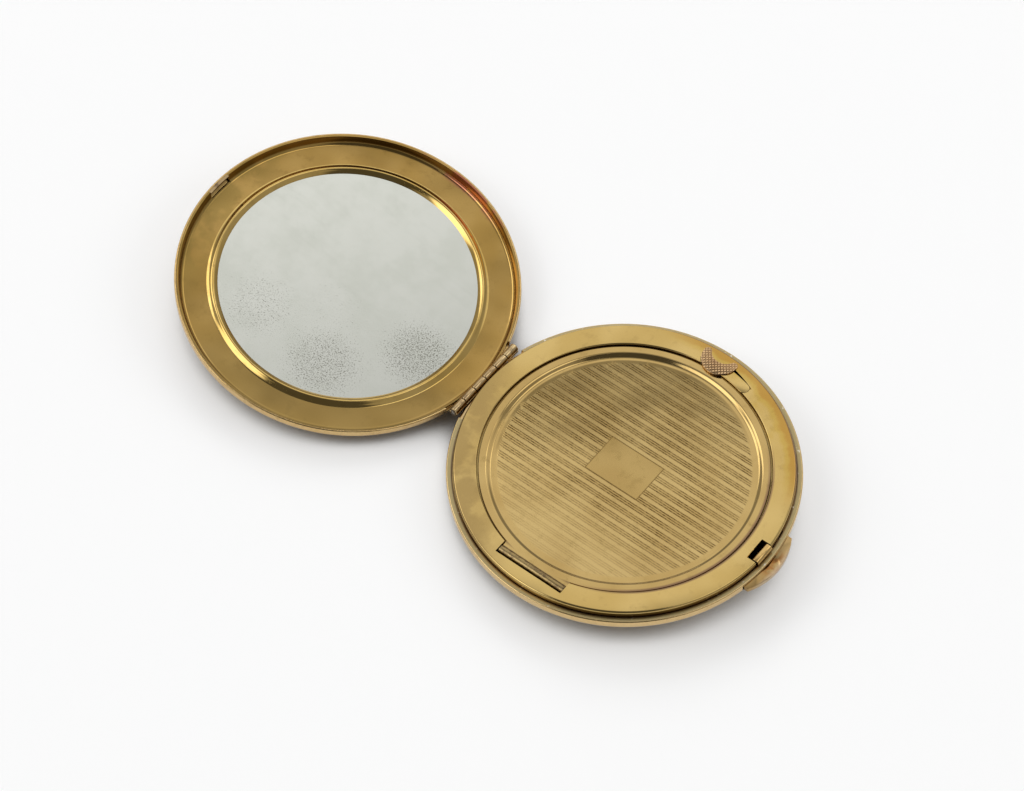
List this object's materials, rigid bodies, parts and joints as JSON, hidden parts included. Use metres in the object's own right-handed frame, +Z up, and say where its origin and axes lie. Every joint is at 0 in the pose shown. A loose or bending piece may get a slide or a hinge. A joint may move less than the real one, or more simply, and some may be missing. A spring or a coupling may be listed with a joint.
{
  "type": "compact mirror",
  "caption": "Round metal powder compact, standing open: mirror in the lid, powder well with hinged inner lid, push latch and spring catch in the base.",
  "frame": {"origin": "middle of the footprint, on the plane that both domes rest on when the compact stands open", "axes": "+X from the lid to the base, square to the hinge; +Y along the hinge; +Z up"},
  "size_m": [0.1622, 0.08, 0.0127],
  "materials": {
    "brass": "satin, worn gold plate",
    "bright_brass": "polished, lightly tarnished",
    "inner_lid_brass": "fine engine-turned lines",
    "dark_brass": "worn, copper brown",
    "silvered_glass": "silvered glass with age specks",
    "steel": "drawn wire and spring strip",
    "card": "pressed card"
  },
  "bodies": {
    "base": {"base_shell": "brass", "base_deck": "bright_brass", "powder_well": "brass", "base_hinge_leaf": "dark_brass", "inner_hinge_bracket": "dark_brass", "inner_hinge_pin": "steel", "latch_guide": "dark_brass", "latch_spring": "steel", "catch_plate": "dark_brass", "catch_pivot": "steel"},
    "lid": {"lid_shell": "brass", "lid_frame": "bright_brass", "mirror_bezel": "bright_brass", "mirror_glass": "silvered_glass", "mirror_card": "card", "lid_strike": "dark_brass", "lid_hinge_leaf": "dark_brass"},
    "wire_pin": {"hinge_pin": "steel"},
    "cover": {"inner_lid": "inner_lid_brass"},
    "catch": {"catch_tongue": "bright_brass", "catch_thumb": "bright_brass"},
    "latch": {"latch_slide": "bright_brass", "thumb_piece": "brass"}
  },
  "joints": [
    {"name": "lid_hinge", "type": "hinge", "parent": "base", "child": "lid", "pos_m": [-0.00126, 0, 0.00556], "axis": [0, -1, 0], "range_deg": [-172, 0]},
    {"name": "pin_spin", "type": "hinge", "parent": "base", "child": "wire_pin", "pos_m": [-0.00126, 0, 0.00556], "axis": [0, 1, 0], "continuous": true},
    {"name": "inner_lid_hinge", "type": "hinge", "parent": "base", "child": "cover", "pos_m": [0.03857, -0.0337, 0.0087], "axis": [0.9976, 0, 0.0698], "range_deg": [0, 105]},
    {"name": "catch_swing", "type": "hinge", "parent": "base", "child": "catch", "pos_m": [0.04735, 0.03308, 0.01022], "axis": [0.0698, 0, -0.9976], "range_deg": [0, 7], "stiffness_Nm_per_rad": 0.1, "springref_deg": -2.01},
    {"name": "latch_push", "type": "slide", "parent": "base", "child": "latch", "axis": [-0.9976, 0, -0.0698], "range_m": [0, 0.001], "stiffness_N_per_m": 1500, "springref_m": -0.001, "deforming": ["latch_spring"]}
  ]
}
